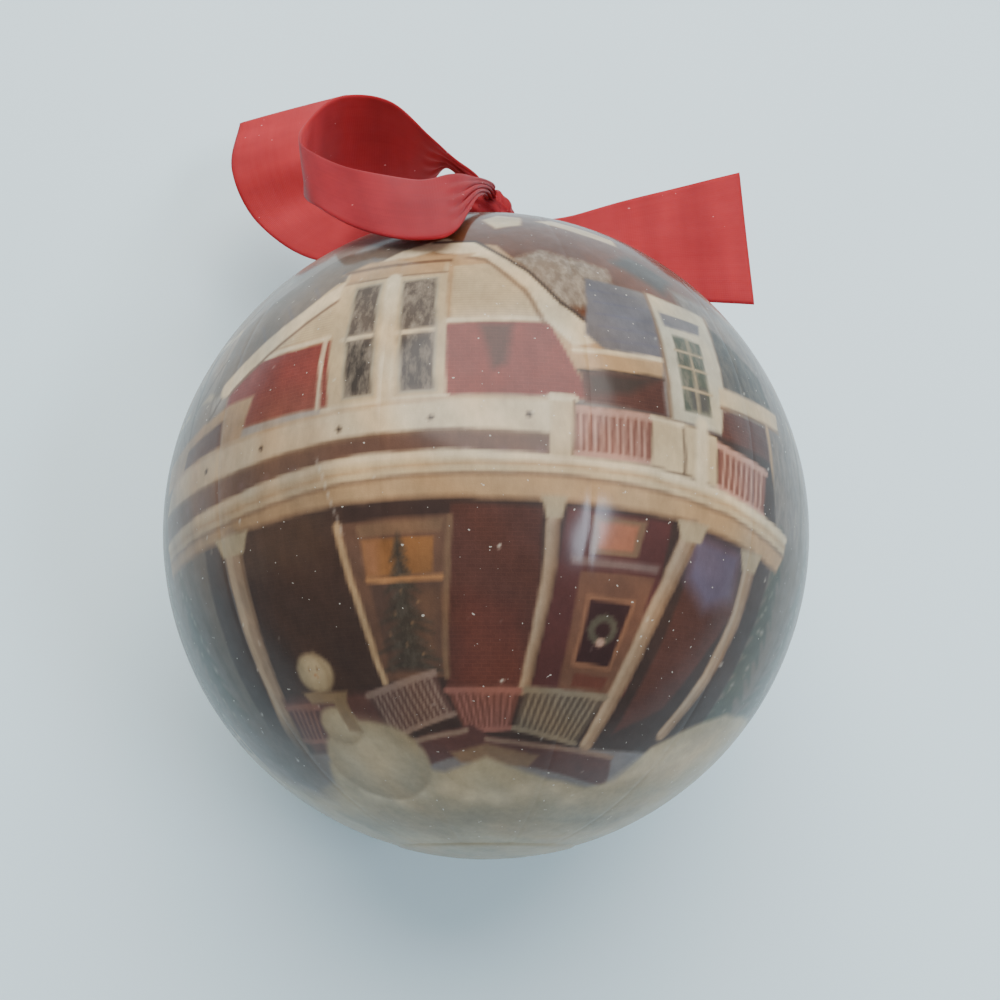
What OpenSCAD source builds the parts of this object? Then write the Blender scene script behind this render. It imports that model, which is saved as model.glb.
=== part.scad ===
// Souvenir christmas ornament: a hollow papier-mache ball pasted over with
// printed paper gores, hung on a satin ribbon with one loop and two tails.
// The ball lies on its side: its poles lie along Y, the ribbon leaves it
// toward +Y, +Z is up. The origin is the top pole, where the ribbon comes out.

/* [Ball] */
// Diameter over the printed paper
ball_d = 75; // [60:1:90]
// Wall of the papier-mache shell
wall_t = 1.8; // [1.2:0.1:3]
// Thickness of the printed and varnished paper
paper_t = 0.3; // [0.2:0.05:0.5]
// Number of paper gores around the ball
gores = 12; // [8:2:16]
// Thickness of the round paper patch over each pole
patch_t = 0.15; // [0.1:0.05:0.3]
// Diameter of the pole patches
patch_d = 20; // [14:1:28]
// Height of the band that joins the half shells inside
joint_ring_h = 8; // [4:1:14]
// Wall of the joining band
joint_ring_t = 1.2; // [0.8:0.1:2]

/* [Ribbon] */
// Thickness of the doubled satin ribbon
ribbon_t = 0.4; // [0.3:0.1:0.6]
// Diameter of the bunched ribbon in the neck
neck_d = 4.4; // [3.6:0.1:4.8]
// Diameter of the hole that the ribbon passes through
hole_d = 5.5; // [5.4:0.1:7]
// Diameter of the outer knot
outer_knot_d = 8; // [6.5:0.1:8]
// Height of the outer knot's centre above the pole
outer_knot_h = 5.5; // [5:0.1:5.6]
// Diameter of the knot inside the ball
inner_knot_d = 8; // [7:0.5:11]
// Diameter of the stopper washer inside the ball
washer_d = 13; // [10:0.5:18]
// Thickness of the stopper washer
washer_t = 0.8; // [0.6:0.1:1.5]

/* [Hidden] */
$fn = 96;
ball_r = ball_d / 2;
shell_r = ball_r - paper_t;
inner_r = shell_r - wall_t;
gore_angle = 360 / gores;
hole_r = hole_d / 2;
neck_r = neck_d / 2;
centre_h = -ball_r;                 // the ball's centre, below the pole
washer_gap = 0.35;                  // play between the washer and the shell
washer_top = centre_h + sqrt(inner_r * inner_r - washer_d * washer_d / 4) - washer_gap;
inner_knot_h = washer_top - washer_t - 0.4 * inner_knot_d;
steps = 8;                          // spline pieces between two ribbon stations

// Each ribbon station is the pair of points where a straight line across the
// strip meets its two edges: [x, y, height above the pole], y toward the back.

// The hanging loop: from the knot forward over the ball's shoulder, round to the
// left, up, and back over the top to the knot
loop_stations = [
    [[1, -5, 7], [0, -4.5, 5.5]],
    [[-1, -13, 3], [-1, -20, -4]],
    [[-4, -20, -1], [-3, -31, -14.5]],
    [[-8, -22, -3], [-6, -32, -16]],
    [[-16, -20, 0], [-12, -28, -13]],
    [[-22, -14, 7], [-19, -22, -6]],
    [[-22, -9, 14], [-22, -8, 4]],
    [[-18, -8, 18], [-21, 4, 13]],
    [[-12, -8, 17], [-13, 8, 16]],
    [[-7, -5, 14], [-8, 7, 15]],
    [[-4, -3, 12], [-5, 1, 13.5]],
    [[-1, -2, 10], [-2, 1, 10]]];

// The left tail: out behind the loop, then up, its cut end rolled back
left_stations = [
    [[-3.5, 3.5, 4.5], [-3.5, 3, 8]],
    [[-12, 10, 5], [-10, 9, 12]],
    [[-24, 14, 7], [-16, 13, 15]],
    [[-33, 16, 14], [-19, 15, 20]],
    [[-37, 15, 22], [-20, 13, 27]],
    [[-37, 18, 32], [-21, 18, 37]]];

// The right tail: straight out to the side, widening from the knot
right_stations = [
    [[4.5, 0.5, 5.5], [4.5, 0.5, 3]],
    [[10, 1, 6], [10, 3, 0]],
    [[18, 2, 9], [19, 5, -3]],
    [[34, 3, 14], [36, 8, -3]]];

function two(n) = n < 10 ? str("0", n) : str(n);
function gore_name(i) = str("paper_gore_", two(i));

// ---------- Frame and shared shapes ----------

// The modules build the ornament upright, pole up and painting toward -Y;
// this lays it on its back with the pole toward +Y
module lay_down() rotate([-90, 0, 0]) children();

module at_centre() translate([0, 0, centre_h]) children();

// A thin skin between two radii, as a half ring of one side of the axis
module skin_outline(r_in, r_out, from_x, to_x) {
    intersection() {
        difference() {
            circle(r = r_out, $fn = 180);
            circle(r = r_in, $fn = 180);
        }
        translate([from_x, -r_out]) square([to_x - from_x, 2 * r_out]);
    }
}

// A round paper patch over one pole: side is 1 for the top, -1 for the bottom
module pole_patch(side, open_r) {
    at_centre() rotate_extrude() intersection() {
        skin_outline(ball_r, ball_r + patch_t, open_r, patch_d / 2);
        translate([0, side > 0 ? 0 : -2 * ball_r]) square(2 * ball_r);
    }
}

// Half of the hollow shell on one side of the equator
module half_shell(side) {
    at_centre() rotate_extrude() intersection() {
        skin_outline(inner_r, shell_r, 0, shell_r);
        translate([0, side > 0 ? 0 : -2 * ball_r]) square(2 * ball_r);
    }
}

module neck_space() {
    translate([0, 0, inner_knot_h])
        cylinder(r = neck_r, h = outer_knot_h - inner_knot_h);
}

// ---------- Ribbon strips ----------

// A smooth curve through four points, at t from the second to the third
function spline(p0, p1, p2, p3, t) =
    0.5 * (2 * p1 + (p2 - p0) * t + (2 * p0 - 5 * p1 + 4 * p2 - p3) * t * t
        + (3 * p1 - p0 - 3 * p2 + p3) * t * t * t);

function clamp_index(i, n) = min(max(i, 0), n - 1);

// One edge of a strip (side 0 or 1), smoothed through its stations
function edge_line(stations, side) =
    let (n = len(stations))
    [for (k = [0 : (n - 1) * steps])
        let (i = min(floor(k / steps), n - 2), t = k / steps - i)
        spline(stations[clamp_index(i - 1, n)][side], stations[i][side],
               stations[i + 1][side], stations[clamp_index(i + 2, n)][side], t)];

function unit(v) = v / norm(v);

// Half a ribbon's thickness, square to the strip at station k
function half_thickness(a, b, k) =
    let (n = len(a), k0 = max(k - 1, 0), k1 = min(k + 1, n - 1),
         along = (a[k1] + b[k1]) - (a[k0] + b[k0]))
    unit(cross(along, b[k] - a[k])) * ribbon_t / 2;

// A flat ribbon of even thickness that follows its stations
module strip(stations) {
    a = edge_line(stations, 0);
    b = edge_line(stations, 1);
    n = len(a);
    points = [for (k = [0 : n - 1]) let (h = half_thickness(a, b, k))
        each [a[k] + h, b[k] + h, b[k] - h, a[k] - h]];
    sides = [for (k = [0 : n - 2], j = [0 : 3])
        let (p = 4 * k + j, q = 4 * k + (j + 1) % 4)
        each [[p, p + 4, q + 4], [p, q + 4, q]]];
    last = 4 * (n - 1);
    ends = [[0, 1, 2], [0, 2, 3],
            [last, last + 2, last + 1], [last, last + 3, last + 2]];
    polyhedron(points, concat(sides, ends), convexity = 10);
}

// ---------- The ball ----------

module upper_half_shell() {
    color("tan") lay_down() difference() {
        half_shell(1);
        translate([0, 0, centre_h]) cylinder(r = hole_r, h = ball_r + 1);
    }
}

module lower_half_shell() {
    color("tan") lay_down() half_shell(-1);
}

// The band glued inside across the equator
module inner_joint_ring() {
    color("burlywood") lay_down() at_centre() rotate_extrude() intersection() {
        difference() {
            circle(r = inner_r, $fn = 180);
            translate([0, -joint_ring_h])
                square([inner_r - joint_ring_t, 2 * joint_ring_h]);
        }
        translate([1, -joint_ring_h / 2]) square([inner_r, joint_ring_h]);
    }
}

module paper_gore(i) {
    color(i % 2 == 0 ? "firebrick" : "rosybrown") lay_down() at_centre()
        rotate([0, 0, (i - 1) * gore_angle - 90 - gore_angle / 2])
            rotate_extrude(angle = gore_angle)
                skin_outline(shell_r, ball_r, hole_r, ball_r);
}

module top_pole_patch() {
    color("wheat") lay_down() pole_patch(1, hole_r);
}

module bottom_pole_patch() {
    color("wheat") lay_down() pole_patch(-1, 0);
}

// ---------- The ribbon's hanger ----------

module stopper_washer() {
    color("peru") lay_down() translate([0, 0, washer_top - washer_t]) difference() {
        cylinder(r = washer_d / 2, h = washer_t);
        translate([0, 0, -1]) cylinder(r = neck_r, h = washer_t + 2);
    }
}

// The knot inside: a round knot pulled flat against the washer
module inner_knot() {
    color("crimson") lay_down() difference() {
        translate([0, 0, inner_knot_h]) sphere(d = inner_knot_d);
        translate([0, 0, washer_top - washer_t + inner_knot_d])
            cube(2 * inner_knot_d, center = true);
        neck_space();
    }
}

module ribbon_neck() {
    color("crimson") lay_down() neck_space();
}

// The knot outside: a round core with the last turn lying slantwise over it
module outer_knot() {
    turn_w = 0.5 * outer_knot_d;
    color("firebrick") lay_down() difference() {
        translate([0, 0, outer_knot_h]) {
            sphere(d = 0.94 * outer_knot_d);
            rotate([0, 35, 15]) intersection() {
                sphere(d = outer_knot_d);
                translate([0, 0, -turn_w / 2]) cylinder(r = outer_knot_d, h = turn_w);
            }
        }
        neck_space();
    }
}

module ribbon_loop() {
    color("crimson") lay_down() strip(loop_stations);
}

module ribbon_left_tail() {
    color("crimson") lay_down() strip(left_stations);
}

module ribbon_right_tail() {
    color("crimson") lay_down() strip(right_stations);
}

// ---------- The nodes ----------

upper_half_shell();
lower_half_shell();
inner_joint_ring();
for (i = [1 : gores])
    paper_gore(i);
top_pole_patch();
bottom_pole_patch();
stopper_washer();
inner_knot();
ribbon_neck();
outer_knot();
ribbon_loop();
ribbon_left_tail();
ribbon_right_tail();
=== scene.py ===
import math

import bpy
import numpy as np
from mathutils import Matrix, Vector


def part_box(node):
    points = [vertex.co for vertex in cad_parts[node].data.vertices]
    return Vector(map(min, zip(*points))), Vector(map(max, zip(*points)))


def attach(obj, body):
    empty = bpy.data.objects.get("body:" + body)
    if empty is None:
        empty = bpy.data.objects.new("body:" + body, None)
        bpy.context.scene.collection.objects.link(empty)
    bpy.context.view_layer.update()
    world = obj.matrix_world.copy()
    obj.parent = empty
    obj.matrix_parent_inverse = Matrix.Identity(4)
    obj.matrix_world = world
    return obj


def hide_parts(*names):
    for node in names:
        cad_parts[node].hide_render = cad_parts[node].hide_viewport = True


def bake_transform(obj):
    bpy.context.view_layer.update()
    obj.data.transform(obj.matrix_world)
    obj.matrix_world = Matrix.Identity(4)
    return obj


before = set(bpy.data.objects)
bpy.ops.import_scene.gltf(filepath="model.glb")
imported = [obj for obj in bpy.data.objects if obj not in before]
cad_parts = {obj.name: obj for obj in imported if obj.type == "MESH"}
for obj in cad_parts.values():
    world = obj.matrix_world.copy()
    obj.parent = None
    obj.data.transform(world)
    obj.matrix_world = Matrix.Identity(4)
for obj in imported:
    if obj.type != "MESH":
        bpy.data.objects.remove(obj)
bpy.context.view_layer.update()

# ---------------- frame and sizes
# The ball lies on its side with its poles along Y. The scene is drawn in the
# ornament's own upright terms: x to the right, y toward its back, h along its
# axis above the top pole, all in millimetres, with longitude 0 on the house
# front and latitude 90 at the top pole.

MM = 0.001
GORES = 12
GORE_NAMES = [f"paper_gore_{i:02d}" for i in range(1, GORES + 1)]


def union_box(nodes):
    boxes = [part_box(n) for n in nodes]
    low = [min(b[0][k] for b in boxes) for k in range(3)]
    high = [max(b[1][k] for b in boxes) for k in range(3)]
    return low, high


BALL_LOW, BALL_HIGH = union_box(GORE_NAMES)
BALL_R = (BALL_HIGH[0] - BALL_LOW[0]) / 2 / MM
PATCH_LOW, PATCH_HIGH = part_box("bottom_pole_patch")
PATCH_R = (PATCH_HIGH[0] - PATCH_LOW[0]) / 2 / MM
CENTRE_H = -BALL_R
HOLE_R = 2.75
PATCH_T = 0.15
RIBBON_W = 16.0
RIBBON_T = 0.3
RIBBON_COLUMNS = 36
SPAN_STEPS = 16
PLEATS = 4.5
PLEAT_H = 1.0
SWAY_H = 0.06
KNOT_H = 5.5
KNOT_R = (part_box("outer_knot")[1][0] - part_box("outer_knot")[0][0]) / 2 / MM
FLOOR_Z = BALL_LOW[2]
FLOOR_REACH = 20
CAMERA_TILT = 74
CAMERA_DISTANCE = 0.145
CAMERA_LENS = 43.45
CAMERA_SHIFT = (0.014, 0.035)


def row(x, y, h):
    """A point of the upright ornament, in mm, as a point of the row frame, in metres."""
    return Vector((x * MM, h * MM, -y * MM))


def row_array(points):
    p = np.asarray(points, float)
    return np.stack([p[:, 0], p[:, 2], -p[:, 1]], axis=1) * MM


def on_ball(lon, lat, radius):
    """Points over the ball at these longitudes and latitudes, in degrees."""
    a, b = np.radians(lon), np.radians(lat)
    x = radius * np.cos(b) * np.sin(a)
    y = -radius * np.cos(b) * np.cos(a)
    h = radius * np.sin(b) + CENTRE_H
    return np.stack([x, y, h], axis=1)


def linear(colour):
    """An sRGB colour given as 0 to 255 as the linear values that Blender wants."""
    c = np.asarray(colour, float) / 255
    return np.where(c <= 0.04045, c / 12.92, ((c + 0.055) / 1.055) ** 2.4)


# ---------------- camera, light, floor

def look_at(obj, target):
    obj.rotation_euler = (target - obj.location).to_track_quat("-Z", "Y").to_euler()


def place_camera():
    centre = row(0, 0, CENTRE_H)
    tilt = math.radians(CAMERA_TILT)
    away = Vector((0, -math.cos(tilt), math.sin(tilt)))
    data = bpy.data.cameras.new("camera")
    data.lens = CAMERA_LENS
    data.sensor_width = 36
    data.shift_x, data.shift_y = CAMERA_SHIFT
    data.clip_start = 0.01
    cam = bpy.data.objects.new("camera", data)
    bpy.context.scene.collection.objects.link(cam)
    cam.location = centre + away * CAMERA_DISTANCE
    look_at(cam, centre)
    bpy.context.scene.camera = cam


def area_light(name, direction, distance, size, power, colour):
    data = bpy.data.lights.new(name, "AREA")
    data.shape = "ELLIPSE"
    data.size, data.size_y = size
    data.energy = power
    data.color = colour
    light = bpy.data.objects.new(name, data)
    bpy.context.scene.collection.objects.link(light)
    centre = row(0, 0, CENTRE_H)
    light.location = centre + Vector(direction).normalized() * distance
    look_at(light, centre)


def place_lights():
    area_light("ceiling", (0.08, 0.58, 0.81), 1.1, (1.4, 1.1), 20.5, (1.0, 0.98, 0.95))
    area_light("window", (0.55, -0.2, 0.81), 0.9, (0.34, 0.16), 3.0, (0.75, 0.86, 1.0))
    area_light("fill", (0.5, 0.1, 0.85), 1.6, (1.2, 1.2), 2.0, (0.93, 0.97, 1.0))
    world = bpy.data.worlds.new("studio")
    world.use_nodes = True
    back = world.node_tree.nodes["Background"]
    back.inputs["Color"].default_value = (0.80, 0.88, 0.92, 1)
    back.inputs["Strength"].default_value = 0.42
    bpy.context.scene.world = world


# ---------------- material helpers

class Shader:
    """A material's node tree, built a node at a time."""

    def __init__(self, name):
        self.material = bpy.data.materials.new(name)
        self.material.use_nodes = True
        self.tree = self.material.node_tree
        self.bsdf = self.tree.nodes["Principled BSDF"]

    def node(self, kind, inputs=None, **settings):
        n = self.tree.nodes.new("ShaderNode" + kind)
        for key, value in settings.items():
            setattr(n, key, value)
        for key, value in (inputs or {}).items():
            self.feed(n.inputs[key], value)
        return n

    def feed(self, socket, value):
        if isinstance(value, bpy.types.NodeSocket):
            self.tree.links.new(value, socket)
        else:
            socket.default_value = value

    def set(self, **values):
        for key, value in values.items():
            self.feed(self.bsdf.inputs[key.replace("_", " ")], value)

    def attribute(self, name, output="Color"):
        return self.node("Attribute", attribute_name=name).outputs[output]

    def math(self, operation, a, b):
        return self.node("Math", {0: a, 1: b}, operation=operation).outputs[0]

    def times(self, a, b):
        return self.math("MULTIPLY", a, b)

    def mix(self, factor, a, b, blend="MIX"):
        n = self.node("Mix", data_type="RGBA", blend_type=blend)
        self.feed(n.inputs[0], factor)
        self.feed(n.inputs[6], a)
        self.feed(n.inputs[7], b)
        return n.outputs[2]

    def noise(self, vector, scale, detail=3.0, roughness=0.55):
        n = self.node("TexNoise", {"Scale": scale, "Detail": detail, "Roughness": roughness})
        self.feed(n.inputs["Vector"], vector)
        return n.outputs["Fac"]

    def ramp(self, value, low, high, to_low=0.0, to_high=1.0):
        n = self.node("MapRange", {"Value": value, "From Min": low, "From Max": high,
                                   "To Min": to_low, "To Max": to_high})
        return n.outputs["Result"]

    def bump(self, height, distance, strength):
        n = self.node("Bump", {"Height": height, "Distance": distance, "Strength": strength})
        return n.outputs["Normal"]

    def place(self, scale=(1, 1, 1)):
        """Object coordinates in millimetres, stretched by scale."""
        coords = self.node("TexCoord").outputs["Object"]
        mm = tuple(s / MM for s in scale)
        return self.node("Mapping", {"Vector": coords, "Scale": mm}).outputs["Vector"]

    def uv(self, name, scale=(1, 1, 1)):
        uv = self.node("UVMap", uv_map=name).outputs["UV"]
        return self.node("Mapping", {"Vector": uv, "Scale": scale}).outputs["Vector"]


def rgba(colour):
    return (*linear(colour), 1.0)


def printed_paper():
    """Varnished printed paper: the picture, with brush grain, bricks, boards and snow specks."""
    s = Shader("printed paper")
    picture = s.attribute("paint")
    kinds = s.node("SeparateColor", {"Color": s.attribute("detail")})
    brick, boards, bloom = kinds.outputs[0], kinds.outputs[1], kinds.outputs[2]
    mm = s.place()
    degrees = s.uv("degrees", (100, 100, 1))

    bricks = s.node("TexBrick", {"Vector": degrees, "Scale": 1.0, "Color1": (1, 1, 1, 1),
                                 "Color2": (0.72, 0.72, 0.72, 1), "Mortar": (1.45, 1.4, 1.35, 1),
                                 "Mortar Size": 0.06, "Mortar Smooth": 0.6,
                                 "Brick Width": 1.5, "Row Height": 0.62})
    colour = s.mix(s.times(brick, 0.35), picture, bricks.outputs["Color"], "MULTIPLY")

    lines = s.node("TexWave", {"Vector": degrees, "Scale": 0.62, "Distortion": 0.6,
                               "Detail": 1.0, "Detail Scale": 0.3},
                   bands_direction="Y", wave_profile="SAW").outputs["Fac"]
    groove = s.ramp(lines, 0.0, 0.25, 0.72, 1.0)
    colour = s.mix(s.times(boards, 0.8), colour, groove, "MULTIPLY")

    strokes = s.noise(s.place((1.6, 0.7, 1.6)), 0.9, 5.0, 0.62)
    colour = s.mix(0.4, colour, s.ramp(strokes, 0.25, 0.75, 0.72, 1.28), "MULTIPLY")
    mottle = s.noise(mm, 0.16, 3.0)
    colour = s.mix(0.4, colour, s.ramp(mottle, 0.3, 0.7, 0.8, 1.2), "MULTIPLY")
    frost = s.ramp(s.noise(s.place((1.5, 0.5, 1.5)), 0.9, 3.0, 0.6), 0.42, 0.7, 0.0, 0.6)
    colour = s.mix(s.times(bloom, frost), colour, rgba((158, 142, 122)))

    dust = s.ramp(s.noise(mm, 2.2, 1.0), 0.76, 0.79)
    colour = s.mix(s.times(dust, 0.6), colour, rgba((205, 198, 184)))
    s.set(Base_Color=colour)
    s.set(Roughness=s.ramp(s.noise(mm, 0.5, 4.0), 0.3, 0.7, 0.5, 0.66))
    grain = s.math("ADD", s.times(strokes, 0.5), s.noise(mm, 6.0, 2.0))
    s.set(Normal=s.bump(grain, 0.00003, 0.5))
    s.set(Coat_Weight=0.55, Coat_Roughness=0.15, Coat_IOR=1.45, Specular_IOR_Level=0.12)
    return s.material


def papier_mache():
    """Raw pulp board: matte, fibrous, with torn layers."""
    s = Shader("papier mache")
    fibres = s.noise(s.place((2.5, 0.8, 1.5)), 1.2, 6.0, 0.7)
    flecks = s.ramp(s.noise(s.place(), 2.6, 2.0), 0.62, 0.7)
    colour = s.mix(fibres, rgba((150, 124, 92)), rgba((196, 172, 136)))
    colour = s.mix(s.times(flecks, 0.5), colour, rgba((96, 80, 64)))
    s.set(Base_Color=colour, Roughness=s.ramp(fibres, 0.3, 0.7, 0.8, 0.95))
    s.set(Normal=s.bump(fibres, 0.0002, 0.6))
    return s.material


def washer_card():
    s = Shader("washer card")
    layers = s.noise(s.place((1, 6, 1)), 1.5, 4.0)
    colour = s.mix(layers, rgba((140, 108, 70)), rgba((178, 146, 104)))
    s.set(Base_Color=colour, Roughness=s.ramp(layers, 0.3, 0.7, 0.75, 0.9))
    s.set(Normal=s.bump(layers, 0.0001, 0.5))
    return s.material


def satin():
    """Red satin ribbon: fine threads along it, finer ones across, firm woven edges.
    Its face is deep red and its back, marked by its own attribute, a paler red: one satin in two tones, the
    darker face painted shade and the paler back painted light that lifts the loop's shaded inside."""
    s = Shader("satin ribbon")
    cloth = s.uv("cloth", (100, 100, 1))
    mm = s.place()
    along = s.node("TexWave", {"Vector": cloth, "Scale": 1.3, "Distortion": 0.5,
                               "Detail": 1.0}, bands_direction="X").outputs["Fac"]
    across = s.node("TexWave", {"Vector": cloth, "Scale": 1.0, "Distortion": 0.8,
                                "Detail": 1.0}, bands_direction="Y").outputs["Fac"]
    cloud = s.noise(mm, 0.16, 3.0)
    sheen_streaks = s.noise(s.uv("cloth", (160, 7, 1)), 1.0, 3.0)
    edge = s.attribute("edge", "Fac")
    back_painted_light = s.attribute("back_painted_light", "Fac")
    # Face and back tones: painted shade on the face, painted light on the back, which shows in the loop's
    # shaded inside
    face = s.mix(s.ramp(cloud, 0.3, 0.7), rgba((124, 28, 34)), rgba((138, 34, 40)))
    back = s.mix(s.ramp(cloud, 0.3, 0.7), rgba((158, 48, 52)), rgba((172, 56, 60)))
    colour = s.mix(back_painted_light, face, back)
    # A faint darker red along the lengthwise threads, from the waves that also raise the weave: painted shade
    # in the weave's valleys
    colour = s.mix(s.times(along, 0.08), colour, rgba((132, 20, 30)))
    # Pale pink streaks along the ribbon: a painted satin sheen; the same noise also varies the roughness
    # below
    colour = s.mix(s.ramp(sheen_streaks, 0.3, 0.7, 0.0, 0.07), colour, rgba((206, 96, 98)))
    # Broad lighter and darker bands along the ribbon: painted light and shade of its bends
    bend_light_and_shade = s.noise(s.uv("cloth", (2, 20, 1)), 1.0, 2.0)
    colour = s.mix(0.6, colour, s.ramp(bend_light_and_shade, 0.3, 0.7, 0.8, 1.18), "MULTIPLY")
    colour = s.mix(s.times(edge, 0.3), colour, rgba((142, 24, 34)))
    lint = s.ramp(s.noise(mm, 1.3, 1.0), 0.79, 0.8)
    colour = s.mix(s.times(lint, 0.5), colour, rgba((236, 180, 180)))
    s.set(Base_Color=colour)
    s.set(Roughness=s.ramp(sheen_streaks, 0.3, 0.7, 0.46, 0.56))
    weave = s.math("ADD", along, s.times(across, 0.6))
    s.set(Normal=s.bump(weave, 0.00002, 0.35))
    s.set(Anisotropic=0.5, Sheen_Weight=0.01, Sheen_Roughness=0.4, Specular_IOR_Level=0.05)
    s.set(Sheen_Tint=rgba((255, 150, 160)), Subsurface_Weight=0.35, Subsurface_Scale=0.0012)
    return s.material


def floor_paint():
    s = Shader("pale floor")
    cloud = s.noise(s.place((0.02, 0.02, 0.02)), 1.0, 2.0)
    s.set(Base_Color=s.mix(cloud, rgba((216, 238, 246)), rgba((222, 243, 250))), Roughness=0.6)
    return s.material


# ---------------- mesh helpers

def mesh_object(name, points, faces, material, smooth=True):
    mesh = bpy.data.meshes.new(name)
    mesh.from_pydata([tuple(p) for p in points], [], faces)
    mesh.materials.append(material)
    mesh.polygons.foreach_set("use_smooth", [smooth] * len(mesh.polygons))
    mesh.update()
    obj = bpy.data.objects.new(name, mesh)
    bpy.context.scene.collection.objects.link(obj)
    return obj


def grid_faces(rows, columns, start=0, flip=False):
    faces = []
    for i in range(rows - 1):
        for j in range(columns - 1):
            p = start + i * columns + j
            quad = (p, p + 1, p + columns + 1, p + columns)
            faces.append(quad[::-1] if flip else quad)
    return faces


def add_uv(obj, name, uv):
    mesh = obj.data
    layer = mesh.uv_layers.new(name=name)
    index = np.empty(len(mesh.loops), int)
    mesh.loops.foreach_get("vertex_index", index)
    layer.data.foreach_set("uv", np.asarray(uv, float)[index].ravel())


def add_colour(obj, name, rgb):
    layer = obj.data.color_attributes.new(name, "FLOAT_COLOR", "POINT")
    layer.data.foreach_set("color", np.column_stack([rgb, np.ones(len(rgb))]).ravel())


def add_value(obj, name, values):
    obj.data.attributes.new(name, "FLOAT", "POINT").data.foreach_set("value", values)


def finish_ball_piece(obj, node):
    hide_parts(node)
    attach(obj, "ball")


# ---------------- the picture

SHADOW = (54, 42, 36)
BRICK = (112, 50, 42)
DARK_BRICK = (74, 44, 36)
DEEP_BRICK = (54, 38, 32)
CREAM = (176, 152, 116)
PALE = (194, 172, 138)
TAN = (158, 126, 90)
UMBER = (104, 78, 58)
SLATE = (94, 88, 88)
LILAC = (88, 62, 50)
GOLD = (120, 80, 46)
SNOW = (148, 131, 101)
SHADED_SNOW = (124, 110, 86)
DUSK = (104, 98, 92)
BARK = (74, 62, 52)
WORN_WOOD = (150, 130, 100)
RAIL_WOOD = (160, 120, 102)
RAIL_SHADE = (106, 66, 54)
DIM_WOOD = (84, 72, 62)
SCARF = (120, 98, 72)
FLAKE = (206, 200, 186)


def cloudy(x, y, seed):
    """Smooth random values from -1 to 1 over a plane, with one new value per unit."""
    side = 97
    table = np.random.default_rng(seed).uniform(-1, 1, (side, side))
    i, j = np.floor(x).astype(int), np.floor(y).astype(int)
    s, t = x - i, y - j
    s, t = s * s * (3 - 2 * s), t * t * (3 - 2 * t)
    low = table[i % side, j % side] * (1 - s) + table[(i + 1) % side, j % side] * s
    high = table[i % side, (j + 1) % side] * (1 - s) + table[(i + 1) % side, (j + 1) % side] * s
    return low * (1 - t) + high * t


def hand_drawn(lon, lat):
    """The same places, shifted a little at random, so that straight lines waver as if painted."""
    shift_lon = 0.12 * cloudy(lon / 3, lat / 3, 1) + 0.06 * cloudy(lon / 0.9, lat / 0.9, 2)
    shift_lat = 0.1 * cloudy(lon / 3, lat / 3, 3) + 0.05 * cloudy(lon / 0.9, lat / 0.9, 4)
    return lon + shift_lon, lat + shift_lat


def wash(rgb, lon, lat):
    """Watercolour tones laid over the picture: light and dark pools, warm and cool ones.
    The clouds are taken over the ball's surface, so they don't streak at its poles."""
    a, b = np.radians(lon), np.radians(lat)
    x, y, z = 57 * np.cos(b) * np.sin(a), 57 * np.cos(b) * np.cos(a), 57 * np.sin(b)

    def clouds(size, seed):
        return (cloudy(x / size, z / size, seed) + cloudy(y / size, (z + x) / size, seed + 20)
                + cloudy((x + y) / size, y / size, seed + 40)) / 2

    pools = 0.07 * clouds(6, 5) + 0.045 * clouds(2.2, 6)
    grain = 0.025 * clouds(0.9, 7)
    warmth = 0.04 * clouds(5, 8)
    tone = (1 + pools + grain)[:, None]
    tint = np.stack([1 + warmth, np.ones(len(lon)), 1 - 1.3 * warmth], axis=1)
    return rgb * tone * tint


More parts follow.
